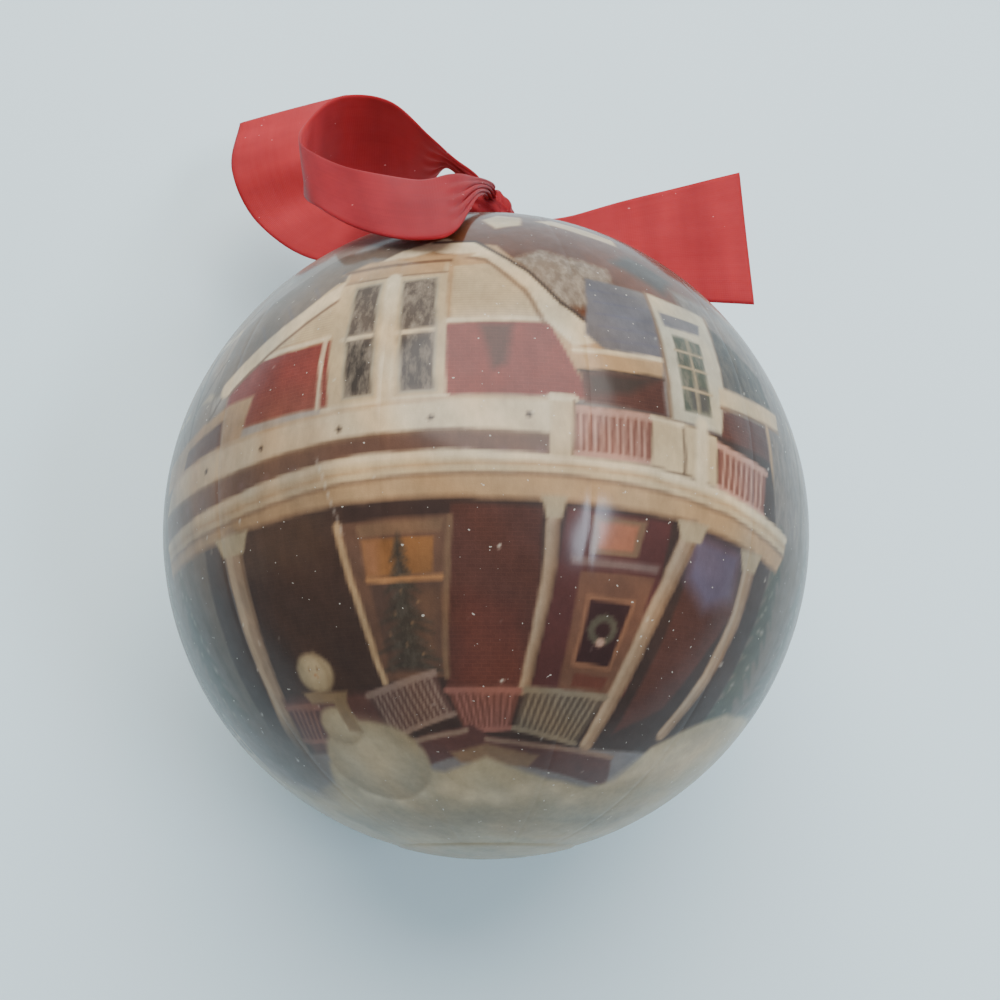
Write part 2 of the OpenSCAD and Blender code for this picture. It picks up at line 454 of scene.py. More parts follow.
class Canvas:
    """The picture on a set of points: colours laid over each other, in degrees."""

    def __init__(self, lon, lat):
        self.lon, self.lat = lon, lat
        self.rgb = np.tile(np.asarray(DUSK, float), (len(lon), 1))
        self.detail = np.zeros((len(lon), 3))

    def near(self, points, margin):
        p = np.asarray(points, float)
        return np.flatnonzero((self.lon > p[:, 0].min() - margin) & (self.lon < p[:, 0].max() + margin)
                              & (self.lat > p[:, 1].min() - margin) & (self.lat < p[:, 1].max() + margin))

    def lay(self, index, cover, colour, brick=0.0, boards=0.0, bloom=0.0):
        c = cover[:, None]
        self.rgb[index] = self.rgb[index] * (1 - c) + np.asarray(colour, float) * c
        self.detail[index] = self.detail[index] * (1 - c) + np.array([brick, boards, bloom]) * c

    def distances(self, index, points, closed):
        """Distance to the outline of points, and whether each place is inside it."""
        x, y = self.lon[index], self.lat[index]
        best = np.full(len(index), 1e9)
        inside = np.zeros(len(index), bool)
        ends = list(zip(points, points[1:] + (points[:1] if closed else [])))
        for (ax, ay), (bx, by) in ends:
            dx, dy = bx - ax, by - ay
            length = max(dx * dx + dy * dy, 1e-9)
            t = np.clip(((x - ax) * dx + (y - ay) * dy) / length, 0, 1)
            best = np.minimum(best, np.hypot(x - ax - t * dx, y - ay - t * dy))
            if closed and ay != by:
                crosses = (ay > y) != (by > y)
                inside ^= crosses & (x < ax + (y - ay) * dx / dy)
        return best, inside

    def area(self, points, colour, soft=0.5, **detail):
        """A filled outline with a soft edge."""
        index = self.near(points, soft)
        if len(index):
            gap, inside = self.distances(index, points, True)
            cover = np.clip(0.5 + np.where(inside, gap, -gap) / soft, 0, 1)
            self.lay(index, cover, colour, **detail)

    def box(self, lon, lat, colour, soft=0.4, **detail):
        (a, b), (c, d) = lon, lat
        self.area([(a, c), (b, c), (b, d), (a, d)], colour, soft, **detail)

    def stroke(self, points, width, colour, soft=0.4, strength=1.0, **detail):
        index = self.near(points, width + soft)
        if len(index):
            gap, _ = self.distances(index, points, False)
            cover = np.clip(0.5 + (width / 2 - gap) / soft, 0, 1) * strength
            self.lay(index, cover, colour, **detail)

    def spot(self, lon, lat, radius, colour, soft=0.4, strength=1.0, **detail):
        index = self.near([(lon, lat)], (radius + soft) / 0.3)
        if len(index):
            squeeze = math.cos(math.radians(lat))
            gap = np.hypot((self.lon[index] - lon) * squeeze, self.lat[index] - lat)
            cover = np.clip(0.5 + (radius - gap) / soft, 0, 1) * strength
            self.lay(index, cover, colour, **detail)


def between(top, bottom):
    """The outline of a band, from its top edge and its bottom edge, both left to right."""
    return list(top) + list(bottom)[::-1]


def slide(a, b, t):
    return (a[0] + (b[0] - a[0]) * t, a[1] + (b[1] - a[1]) * t)


def railing(c, top_left, top_right, bottom_left, bottom_right, bars, wood, behind):
    """A run of railing: a handrail, a foot rail and evenly spaced bars."""
    c.area([top_left, top_right, bottom_right, bottom_left], behind, 0.5)
    for k in range(1, bars):
        t = k / bars
        c.stroke([slide(top_left, top_right, t), slide(bottom_left, bottom_right, t)], 0.5, wood, 0.35)
    c.stroke([top_left, top_right], 1.1, wood, 0.4)
    c.stroke([bottom_left, bottom_right], 0.9, wood, 0.4)


def snow_patch(c, lon, lat, reach, colour):
    """A long ragged patch of snow on a hillside."""
    outline = [(-1, 0), (-0.5, 0.24), (0.1, 0.1), (0.8, 0.2), (1, 0), (0.3, -0.2), (-0.3, -0.1)]
    c.area([(lon + x * reach, lat + y * reach) for x, y in outline], colour, 0.9)


def paint_sky(c):
    """Dusk sky, a brown hillside with patches of snow, and the ground all round."""
    t = np.clip((c.lat + 10) / 70, 0, 1)[:, None]
    c.rgb[:] = np.array((104, 94, 90)) * (1 - t) + np.array((142, 128, 114)) * t
    for k in range(24):
        lon, lat = -176 + 14.8 * k, 18 + 19 * math.sin(2.3 * k)
        reach, tone = 17 + 7 * math.sin(1.3 * k), 132 + 24 * math.cos(3.1 * k)
        c.area([(lon - reach, lat), (lon - 0.4 * reach, lat + 3.8), (lon + 0.5 * reach, lat + 2.6),
                (lon + reach, lat + 0.6), (lon + 0.3 * reach, lat - 2.4), (lon - 0.5 * reach, lat - 1.6)],
               (tone, tone - 10, tone - 22), 4.0)
    for low, high in ((-184, -58), (68, 184)):
        along = np.arange(low, high + 1, 6.0)
        c.area(between([(x, 61 + 3 * math.sin(0.2 * x)) for x in along],
                       [(x, 46 + 3 * math.sin(0.13 * x)) for x in along]), (98, 78, 60), 3.0)
        for k, lon in enumerate(np.arange(low + 14, high - 8, 23.0)):
            snow_patch(c, lon, 53 + 4 * math.sin(1.9 * k), 10, CREAM)
    c.area([(-16, 36), (-8, 47), (-10, 62), (30, 64), (62, 52), (64, 30), (18, 14), (4, 30)],
           (82, 42, 18), 3.0)
    c.area([(2, 42), (-1, 47), (3, 51), (9, 50), (8, 44.5)], CREAM, 1.0)
    c.area([(12, 48), (17, 50.5), (31, 45), (29.5, 41.5), (21, 44)], CREAM, 1.0)
    c.area([(24, 34), (30, 38), (38, 33), (33, 28)], SHADOW, 2.0)
    c.area([(5, 31), (10, 34), (22, 31), (22, 21), (12, 20)], (114, 94, 76), 1.5, bloom=1.0)


def tree(c, rng, lon, foot, height, width):
    """A bare winter tree: a leaning trunk that forks into thinner and thinner branches."""
    lean = rng.uniform(-0.12, 0.12) * height
    bend = (lon + 0.4 * lean, foot + 0.6 * height)
    c.stroke([(lon, foot), bend], width, BARK, 0.5, 0.9)
    c.stroke([bend, (lon + lean, foot + height)], 0.5 * width, BARK, 0.5, 0.8)
    for k in range(9):
        t = 0.35 + 0.065 * k
        x, y = lon + lean * t, foot + height * t
        reach = (1.1 - t) * height * rng.uniform(0.25, 0.45) * (1 if k % 2 else -1)
        tip = (x + reach, y + abs(reach) * rng.uniform(0.7, 1.4))
        c.stroke([(x, y), tip], 0.3 * width, BARK, 0.45, 0.75)
        twig = (x + 0.4 * reach, tip[1] + 0.2 * abs(reach))
        c.stroke([slide((x, y), tip, 0.5), twig], 0.2, BARK, 0.45, 0.6)


def pine(c, rng, lon, foot, height, dark):
    """A pine: ragged tiers of boughs that widen toward the foot, dusted with snow."""
    tiers = 11
    for k in range(tiers):
        top = foot + height * (1 - k / tiers)
        left, right = (height * (0.035 + 0.02 * k) * rng.uniform(0.7, 1.25) for _ in range(2))
        fall = height * 0.15
        c.area([(lon, top), (lon - left, top - fall), (lon - 0.4 * left, top - 0.8 * fall), (lon, top - fall),
                (lon + 0.5 * right, top - 0.85 * fall), (lon + right, top - 1.05 * fall)], dark, 0.8)
        for _ in range(2):
            c.spot(lon + rng.uniform(-0.7, 0.6) * left, top - rng.uniform(0.5, 0.9) * fall,
                   rng.uniform(0.2, 0.5), (150, 142, 128), 0.7, 0.6)


def paint_woods(c, rng, low_lon, high_lon, foot):
    """Far hills, a misty line of trees, and nearer bare trees and pines on latitude foot."""
    ridge = np.arange(low_lon - 2, high_lon + 3, 4.0)
    for rise, colour in ((33, (122, 104, 86)), (14, (110, 98, 88)), (4, (98, 86, 76)), (-12, DIM_WOOD)):
        top = [(x, rise + 3.5 * math.sin(0.11 * x + rise) + 1.5 * math.sin(0.31 * x)) for x in ridge]
        c.area(top + [(high_lon + 2, foot - 2), (low_lon - 2, foot - 2)], colour, 2.5)
    for lon in np.arange(low_lon + 6, high_lon, 14):
        snow_patch(c, lon, 24 + 3 * math.sin(lon), 6, (160, 144, 116))
        snow_patch(c, lon + 6, 10 + 3 * math.cos(lon), 4.5, (146, 132, 108))
    for lon in np.arange(low_lon + 2, high_lon, 2.6):
        at = lon + rng.uniform(-1, 1)
        c.stroke([(at, foot), (at + rng.uniform(-1, 1), rng.uniform(-22, -6))], rng.uniform(0.3, 0.8),
                 DIM_WOOD, 0.8, 0.5)
    for lon in np.arange(low_lon + 5, high_lon - 3, 11):
        pine(c, rng, lon + rng.uniform(-3, 3), foot - 1, rng.uniform(18, 40), (60, 58, 46))
        tree(c, rng, lon + 6 + rng.uniform(-1.5, 1.5), foot - 1, rng.uniform(44, 96), rng.uniform(1.2, 2.6))


def paint_gable(c):
    """The upper storey: slate slope, bargeboards, siding, brick and the double window."""
    c.area([(-50, 12), (-50, 26), (-38, 33), (-30, 38), (-16, 38), (-8, 36), (-46, 12)], (98, 84, 72), 0.8)
    for k in range(6):
        c.stroke([(-47 + 5 * k, 21 + 2.7 * k), (-43 + 5 * k, 15 + 2.9 * k)], 0.4, (84, 78, 84), 0.4, 0.6)
    c.area([(-45, 4), (-45, 12), (-9, 37), (2, 35), (18, 13), (14, 4)], TAN, 0.6)
    c.area([(-38, 16.6), (-34, 21.5), (-27, 28.4), (-24.5, 28.6), (-24, 16.6)], CREAM, boards=1.0)
    c.area([(-5.4, 17.2), (-5.4, 29), (1, 29.4), (6, 24), (9, 17.4)], CREAM, boards=1.0)
    c.area([(-45, 4), (-45, 11.5), (-40, 15), (-24.4, 15.4), (-22.6, 4)], BRICK, 0.4, brick=1.0)
    c.area([(-6, 4), (-6, 16.2), (9.5, 16.6), (15, 4)], BRICK, 0.4, brick=1.0)
    c.area([(-1, 16), (4, 16), (3, 9), (1, 8), (0, 12)], DARK_BRICK, 1.5, brick=1.0)
    c.stroke([(-42, 15.4), (-25, 16.2)], 1.0, PALE)
    c.stroke([(-6, 16.8), (9.5, 17.2)], 0.9, PALE)
    c.stroke([(-25, 4), (-25.4, 15.5)], 0.7, PALE)
    c.stroke([(-46, 12.6), (-33, 21), (-22, 28.6), (-15, 33.5), (-8, 36.2)], 3.4, PALE, 0.6)
    c.stroke([(-45, 10.9), (-32, 19.2), (-21, 26.8)], 0.6, UMBER, 0.5)
    c.area(between([(-10, 36.6), (-2, 36.2), (7, 27.4), (11.5, 20.6), (19, 14.4)],
                   [(-9, 33), (0, 31), (6.5, 23.5), (9.2, 16.8), (13, 12.6)]), PALE)
    c.stroke([(-10, 36.8), (-2, 36.4), (7.2, 27.6), (11.8, 20.8), (19.2, 14.6)], 0.7, SHADOW, 0.5)
    c.stroke([(-9, 32.8), (0, 30.4), (6.2, 22.8), (8.9, 16.4)], 0.7, UMBER, 0.6, 0.8)
    c.area([(-27, 30.6), (-5, 30.2), (-2, 32.4), (-22, 32.6)], TAN, 0.8)


def paint_gable_window(c):
    c.area([(-25.6, 30.8), (-6.4, 30.4), (-5.6, 3.6), (-23.4, 3.6)], CREAM)
    c.area([(-25, 30.6), (-7, 30.2), (-7, 27.6), (-24.6, 27.8)], TAN, 0.6)
    c.stroke([(-25.8, 30.9), (-6.2, 30.6)], 0.8, UMBER)
    c.stroke([(-24.6, 27.6), (-6.6, 27.4)], 0.5, UMBER, 0.4, 0.7)
    for left, right, foot in ((-22.3, -17.6, (-20.9, -16.4)), (-13.9, -8, (-12.2, -7.2))):
        glass = [(left, 26), (right, 26.2), (foot[1], 4.8), (foot[0], 4.8)]
        c.area(glass, DIM_WOOD, bloom=0.9)
        mid = 15.2
        c.stroke([(left, mid), (right, mid)], 0.9, PALE, 0.4)
        c.area([(left + 1, 14), (right - 0.4, 14), (foot[1] - 0.5, 5.5), (foot[0] + 0.4, 5.5)],
               (56, 48, 42), 1.2, bloom=0.6)
        c.stroke(glass + glass[:1], 0.45, (150, 136, 112), 0.35)
    c.stroke([(-15.6, 27), (-14.4, 4)], 2.4, PALE, 0.6)
    c.stroke([(-24, 3.4), (-5.6, 3.8)], 1.0, PALE)


def paint_right_wing(c):
    """The slate roof and the tall window right of the gable, and what lies beyond them."""
    c.area([(36, 30), (62, 28), (62, -10), (36, -6)], (92, 82, 76), 2.0, bloom=0.4)
    c.area([(17, 27.4), (29.5, 26.4), (28, 12.8), (18, 12.4), (15, 15)], SLATE, 0.6)
    for k in range(5):
        c.stroke([(17.5, 14.5 + 2.5 * k), (28.5, 14.8 + 2.5 * k)], 0.35, (86, 82, 90), 0.4, 0.6)
    c.area([(13, 12), (27.6, 12.6), (27, 9), (13, 8.4)], TAN)
    c.stroke([(13, 12), (27.6, 12.6)], 0.8, PALE)
    c.stroke([(13.5, 8.6), (27, 9.2)], 0.6, SHADOW, 0.5)
    c.area([(13.6, 8.4), (27, 9), (27, 3), (14, 3.6)], DARK_BRICK, 0.6, brick=1.0)
    c.area([(14.5, 8.2), (26, 8.8), (21, 5.6), (15, 5)], SHADOW, 1.5)
    c.area([(28.4, 26.8), (42, 25.4), (39, 2.6), (27.6, 2.8)], (166, 154, 130))
    c.area([(29.8, 22.8), (38.6, 22.6), (37.6, 20), (30, 19.8)], SLATE, 0.4)
    c.area([(30.8, 18.2), (36.8, 18.2), (35.6, 4.8), (30.4, 4.8)], (72, 74, 62), 0.4, bloom=0.5)
    c.area([(32, 9), (35.6, 9.4), (35.2, 5.4), (32, 5.2)], (70, 66, 60), 0.8)
    for lat in (8.6, 12.4, 15.4):
        c.stroke([(30.6, lat), (36.4, lat)], 0.45, WORN_WOOD, 0.35)
    c.stroke([(33.8, 18), (33.2, 5)], 0.45, WORN_WOOD, 0.35)
    c.stroke([(28.4, 26.8), (27.8, 3)], 0.7, UMBER, 0.5, 0.8)
    c.stroke([(41.6, 25.4), (39.4, 3)], 0.8, UMBER, 0.5, 0.8)
    c.area([(41.5, 23.4), (53, 17), (54, 11), (39.8, 10.8)], (56, 50, 44), 0.8, bloom=0.2)
    c.area([(38.6, 10.6), (56, 11), (55, 7.4), (38, 6.8)], CREAM)
    c.stroke([(38.2, 7), (55, 7.6)], 0.6, UMBER)
    c.area([(38.4, 6.6), (50, 6.8), (50, -1), (37, -1)], DARK_BRICK, brick=1.0)
    c.stroke([(50.6, 7), (50.2, -8)], 0.9, TAN)


def paint_seam(c):
    """Where one sheet of the print laps over the next: a faint pale crease."""
    c.stroke([(-25, -3.5), (-22, -12), (-21, -15)], 0.22, FLAKE, 0.3, 0.4)


def paint_balcony(c):
    """The porch roof's edge: parapet, band, cornice and beam, and the balcony's railings."""
    top = [(-62, 0.6), (-55, 1.7), (-35, 2.6), (-17, 3.4), (-6, 3.9), (12, 3.8)]
    ledge = [(-66, -4), (-41, -2.9), (-21, -1.4), (-6, -1.2), (12, -1.8)]
    shade = [(-66, -8.4), (-41, -6.5), (-21, -4.2), (-6, -4.1), (12, -4.8)]
    c.area([(-66, 4.6), (-44, 9), (-38, 9), (-40, 2), (-66, 0)], TAN, 0.8)
    c.area([(-56, 4.6), (-45, 6.6), (-45, 2.4), (-57, 1.4)], DARK_BRICK, 0.6, brick=0.6)
    c.area([(12, -5), (12, 3), (27, 3), (50, 1), (52, -9), (36, -6)], DEEP_BRICK)
    railing(c, (12.2, 2.4), (24.6, 2.3), (12, -4.2), (24, -4.4), 11, RAIL_WOOD, RAIL_SHADE)
    railing(c, (36.6, 0.5), (48.4, -1.2), (36, -5.8), (47.6, -8), 9, RAIL_WOOD, RAIL_SHADE)
    c.area([(24.6, 2.6), (30, 2.4), (29.6, -5.2), (24, -4.8)], CREAM)
    c.stroke([(24.6, 2.4), (30, 2.3)], 0.8, PALE)
    c.area([(30.2, 2.6), (36.4, 1.6), (36, -6), (30, -5.2)], CREAM)
    c.stroke([(33.4, 3), (33, -5.6)], 2.4, PALE, 0.8)
    c.area(between(top, ledge), PALE)
    c.stroke([(x, y - 0.3) for x, y in top], 0.5, TAN, 0.6, 0.6)
    c.area(between(ledge, shade), LILAC)
    c.stroke([(x, y - 0.1) for x, y in ledge], 0.7, UMBER, 0.6, 0.7)
    for k in range(14):
        lon = -60 + 5.2 * k
        c.spot(lon, -5.6 + 0.02 * (lon + 60), 0.7, (104, 78, 76), 0.9, 0.5)
    for k in range(5):
        lon = -48.5 + 13.6 * k
        c.spot(lon, -0.8 + 0.035 * (lon + 48), 0.42, SHADOW, 0.35)
    c.area([(9, 4.4), (12.6, 4.4), (12.2, -5), (8.8, -5)], CREAM, 0.4)
    c.stroke([(9.2, 3.9), (12.4, 3.9)], 1.2, PALE)
    c.stroke([(12.4, 3.6), (12, -4.8)], 0.4, UMBER, 0.4, 0.8)


def paint_cornice(c):
    shade = [(-66, -8.4), (-41, -6.5), (-21, -4.2), (-6, -4.1), (9, -4.7), (24, -5), (36, -6.2), (56, -9.6)]
    cornice = [(-66, -11.4), (-41, -9.9), (-21, -7.7), (-6, -7.3),
               (9, -7.3), (24, -8), (40, -9.8), (56, -12.6)]
    beam = [(-66, -14), (-41, -12.2), (-21, -10.8), (-6, -10.8),
            (9, -11.2), (30, -11.9), (44, -14), (54, -15.6)]
    c.area(between(shade, cornice), CREAM)
    c.stroke([(x, y - 0.5) for x, y in shade], 1.1, PALE, 0.6)
    c.stroke([(x, y + 1.3) for x, y in cornice], 0.5, TAN, 0.5, 0.8)
    c.area(between(cornice, beam), TAN)
    c.stroke([(x, y - 0.2) for x, y in cornice], 0.6, UMBER, 0.5, 0.6)
    c.stroke([(x, y + 0.2) for x, y in beam], 0.6, UMBER, 0.5, 0.7)
    # Broad soft umber strokes over the left end of the cornice and balcony, stronger toward the left: painted
    # shade
    for lon, strength in ((-63, 0.55), (-54, 0.45), (-45, 0.4), (-36, 0.35), (-28, 0.3)):
        c.stroke([(lon, -15), (lon + 2, 4)], 8, UMBER, 7.0, strength)


def paint_porch(c):
    """The ground floor under the porch roof: walls, lit window with a tree, and the door."""
    c.area([(-50, -12), (-20, -10), (52, -12), (50, -48), (-52, -48)], DEEP_BRICK, 0.8)
    c.area([(-43, -13.6), (-21, -11.4), (-19, -37), (-40, -39)], (60, 42, 34), 0.8, brick=0.5)
    c.area([(-5, -11.6), (8, -12), (8, -38), (-7, -38)], DARK_BRICK, 0.6, brick=0.8)
    c.area([(-3, -24), (5, -26), (7, -38), (-6, -38)], (84, 46, 37), 3.0, brick=0.8)
    c.area([(-22.4, -13.4), (-4.6, -13), (-6.4, -36), (-18.4, -36.6)], (88, 62, 48))
    c.area([(-19, -13.8), (-6, -13.6), (-6.4, -15.4), (-18.6, -15.6)], UMBER)
    c.area([(-18.2, -16), (-7.6, -16), (-7.8, -21), (-17.9, -21.2)], GOLD)
    c.area([(-18.2, -16), (-15.8, -16), (-16, -21.2), (-17.9, -21.2)], (132, 88, 58), 1.2)
    c.area([(-17.6, -22.2), (-6.6, -22.2), (-7.4, -35), (-16.4, -35.4)], (74, 54, 44), 0.6)
    c.area([(-11, -23), (-7.4, -23), (-8, -34), (-10, -34)], (86, 62, 48), 2.5)
    for k in range(13):
        top, half = -16.2 - 1.45 * k, 0.7 + 0.38 * k
        left, right = half * (1 + 0.25 * math.sin(2.1 * k)), half * (1 + 0.25 * math.cos(1.7 * k))
        c.area([(-12.8, top + 1), (-12.8 - left, top - 1.5), (-12.8 - 0.4 * left, top - 1.1),
                (-12.5 + 0.4 * right, top - 1.2), (-12.5 + right, top - 1.7)], (54, 46, 38), 0.9, bloom=0.15)
    for k in range(8):
        c.spot(-15.5 + 1.3 * (k * 7 % 5), -22 - 1.5 * k, 0.22, (150, 112, 78), 0.4, 0.5)
    c.stroke([(-17.9, -21.7), (-6.6, -21.7)], 0.8, (150, 104, 66))
    c.stroke([(-22, -13.6), (-18, -36.6)], 1.1, TAN, 0.5)
    c.stroke([(-5.2, -13.6), (-6.8, -36)], 0.9, UMBER, 0.5)

    c.area([(11.6, -12), (28, -12.4), (26, -38.6), (8, -38)], (74, 40, 36), 0.6)
    c.area([(15.4, -12.8), (24, -12.8), (23, -18), (15.4, -18)], UMBER, 0.4)
    c.area([(16.4, -13.6), (22.6, -13.6), (22, -17.2), (16.4, -17.2)], (140, 86, 62), 0.6)
    c.area([(12.4, -18.4), (27, -18.8), (26.6, -20), (12.6, -19.6)], (104, 80, 72), 0.6)
    c.area([(14, -20.4), (26.2, -20.6), (23.8, -38.4), (12.8, -37.8)], (96, 64, 48))
    panel = [(15.8, -24), (23.4, -24.4), (21.4, -34.4), (14.8, -33.8)]
    c.area(panel, (50, 28, 26), 0.6)
    c.stroke(panel + panel[:1], 0.7, (118, 80, 58), 0.4)
    for k in range(12):
        turn = 2 * math.pi * k / 12
        c.spot(18.9 + 2.0 * math.cos(turn), -28.6 + 1.7 * math.sin(turn), 0.6, (76, 68, 54), 0.5)
    c.spot(18.8, -30.4, 0.7, (168, 132, 112), 0.5)
    c.area([(15.4, -35.2), (21.6, -35.8), (21.2, -37.6), (15.2, -37.2)], (92, 50, 38), 0.4)

    c.area([(32, -13.2), (43, -15), (44, -24), (36, -40), (27, -45), (32, -21)], DARK_BRICK, 0.8, brick=0.6)
    # A soft bluish patch over the top of this wall: a painted reflection on the varnish
    c.area([(32, -13), (43, -14.8), (43, -22), (37, -24), (32, -20)], (88, 74, 84), 3.0)


def paint_posts(c):
    """The porch's turned posts, each a pale shaft with a shaded side."""
    for path, width in (([(-42.5, -13), (-42.4, -24), (-43, -36), (-45.5, -46)], 4.2),
                        ([(9.6, -11.4), (9.4, -20), (8, -30), (6.6, -38)], 1.9),
                        ([(32, -12.8), (29.2, -20), (27, -26.5), (24.6, -36), (22, -47)], 3.0),
                        ([(45.6, -15), (45.4, -24), (43.6, -34), (40, -44)], 3.0)):
        c.stroke(path, width, (132, 106, 82), 0.6)
        c.stroke([(x - 0.25 * width, y) for x, y in path], 0.35 * width, (164, 140, 112), 0.7, 0.6)
        c.stroke([(x + 0.42 * width, y) for x, y in path], 0.5, UMBER, 0.5, 0.9)
        x, y = path[0]
        c.area([(x - width, y + 1), (x + width, y + 1), (x + 0.6 * width, y - 2), (x - 0.6 * width, y - 2)],
               WORN_WOOD)


def paint_rails_and_steps(c):
    c.box((-42, -20), (-48, -38), (84, 54, 46), 1.5)
    railing(c, (-42, -39.4), (-34, -39.8), (-43, -45.4), (-36, -46), 6, (112, 74, 62), (78, 48, 42))
    railing(c, (-22, -38.6), (-9, -35.4), (-20, -46), (-6, -42), 12, (118, 94, 80), (80, 56, 48))
    railing(c, (-7, -38.2), (6, -38.2), (-4.4, -45), (5, -44.6), 10, (124, 78, 66), (90, 54, 44))
    railing(c, (7, -38), (22.4, -38.8), (5.6, -44.6), (19.4, -47.2), 12, (116, 100, 80), (78, 64, 52))
    c.area([(-19, -47), (-3, -44), (1, -46), (30, -49.6), (34, -56), (5, -51), (-4, -49), (-15, -52)],
           (78, 48, 42), 0.6)
    c.stroke([(-16, -46.8), (-4, -45)], 0.9, (118, 94, 78), 0.5)
    c.stroke([(0, -46.6), (30, -49.4)], 0.9, (116, 90, 74), 0.5)
    c.area([(-8, -49), (0, -47.4), (12, -49.6), (10, -52), (-6, -51)], (110, 84, 62), 0.8)


def paint_snow_ground(c):
    edge = [(-180, -42), (-140, -38), (-100, -41), (-76, -44), (-66, -50), (-56, -56), (-44, -54),
            (-40, -50), (-33, -49), (-18, -51.6), (-10, -53), (0, -50), (8, -52.4), (16, -54.6),
            (28, -56), (36, -54.4), (39, -47), (48, -42), (57, -39), (75, -38), (110, -40), (150, -37),
            (180, -42)]
    c.area(edge + [(181, -91), (-181, -91)], SNOW, 1.2)
    # A broad soft dark patch low on the left of the front: painted shade, the ball darker toward its lower
    # left
    c.area([(-72, -42), (-62, -39), (-52, -40), (-44, -44), (-42, -49), (-46, -54), (-54, -57), (-64, -55),
            (-72, -50)], (80, 66, 58), 7.0)
    c.area([(-60, -62), (-20, -60), (30, -62), (60, -60), (60, -68), (-60, -70)], SHADED_SNOW, 6.0)
    c.area([(34, -55), (40, -48), (52, -43), (60, -42), (60, -52)], (168, 146, 114), 4.0)
    for k in range(9):
        lon = -34 + 7.5 * k
        c.spot(lon, -58 - 1.5 * math.sin(1.7 * k), 1.6, PALE, 2.5, 0.5)


def paint_snowman(c):
    """A plain snowman by the steps: balls of snow with a shaded side, a scarf, dots for eyes."""
    for lon, lat, radius in ((-26, -51, 8.2), (-30.5, -43.4, 3.4), (-31.4, -34.4, 3.1)):
        c.spot(lon, lat, radius, (134, 116, 88), 0.8)
        c.spot(lon, lat + 0.16 * radius, 0.75 * radius, (160, 142, 112), 0.6 * radius, 0.85)
    c.area([(-36, -37.2), (-26, -37.6), (-27, -39.4), (-35, -39.2)], SCARF, 0.6)
    c.area([(-30, -38.4), (-27, -38.8), (-26, -44.6), (-29, -44.2)], SCARF, 0.6)
    c.stroke([(-30.4, -31.2), (-28.6, -34.2), (-29.4, -37)], 0.6, (130, 110, 82), 0.8, 0.6)
    for lon, lat in ((-32.3, -33.7), (-30.5, -33.6)):
        c.spot(lon, lat, 0.24, UMBER, 0.4, 0.8)
    c.stroke([(-31.5, -34.6), (-30.8, -34.9)], 0.3, (150, 104, 70), 0.4)


def paint_back(c, rng):
    """Woods over the far side and both flanks."""
    for low, high, foot in ((-132, -52, -44), (52, 132, -40), (132, 180, -38), (-180, -132, -38)):
        paint_woods(c, rng, low, high, foot)


def paint_far_yard(c):
    """A fence on each flank, and a small barn on the far side, half on either side of longitude 180."""
    for low, high in ((-128, -72), (72, 128)):
        for k in range(15):
            lon = low + (high - low) * k / 14
            c.stroke([(lon, -49), (lon, -40)], 0.9, (142, 122, 100), 0.5)
        for lat in (-42, -46):
            c.stroke([(low, lat), (high, lat)], 0.7, (150, 130, 106), 0.5)
    for lon in (168, -192):
        left, right = lon + 8, lon + 16
        c.box((lon, lon + 24), (-46, -20), DARK_BRICK, 0.6, boards=0.7)
        c.area([(lon - 3, -21), (lon + 4, -8), (lon + 20, -8), (lon + 27, -21)], PALE, 0.8)
        c.box((left, right), (-46, -30), (64, 34, 30), 0.5)
        c.stroke([(left, -45), (left, -30), (right, -30), (right, -45), (left, -45)], 0.8, CREAM)
        for lat in (-34, -38, -42):
            c.stroke([(left, lat), (right, lat)], 0.5, CREAM)
        c.box((lon + 10, lon + 14), (-27.5, -24), GOLD, 0.4)


def paint_snowflakes(c, rng):
    for _ in range(190):
        lon, lat = rng.uniform(-180, 180), math.degrees(math.asin(rng.uniform(-0.85, 0.97)))
        c.spot(lon, lat, rng.uniform(0.08, 0.28), FLAKE, 0.3, rng.uniform(0.3, 0.8))


def paint_picture(lon, lat):
    """Colour and surface detail at each longitude and latitude, in degrees.
    A gore may reach past longitude 180, so its places are first brought back within it."""
    lon = (lon + 180) % 360 - 180
    c = Canvas(*hand_drawn(lon, lat))
    rng = np.random.default_rng(12)
    paint_sky(c)
    paint_back(c, rng)
    paint_gable(c)
    paint_gable_window(c)
    paint_right_wing(c)
    paint_balcony(c)
    paint_porch(c)
    paint_cornice(c)
    paint_posts(c)
    paint_rails_and_steps(c)
    paint_snow_ground(c)
    paint_snowman(c)
    paint_far_yard(c)
    paint_seam(c)
    paint_snowflakes(c, rng)
    return linear(np.clip(wash(c.rgb, lon, lat), 0, 255)), c.detail


# ---------------- the ball's paper

def ripple(lon, lat):
    """The hand-pasted surface's slow waves, in mm."""
    a, b = np.radians(lon), np.radians(lat)
    x, y, z = np.cos(b) * np.sin(a), np.cos(b) * np.cos(a), np.sin(b)
    return (0.022 * np.sin(7 * x + 5 * z + 1) * np.sin(6 * y - 4 * z)
            + 0.010 * np.sin(19 * x - 11 * y + 3) * np.sin(17 * z + 9 * y)
            + 0.004 * np.sin(47 * x + 31 * z) * np.sin(43 * y - 37 * z))


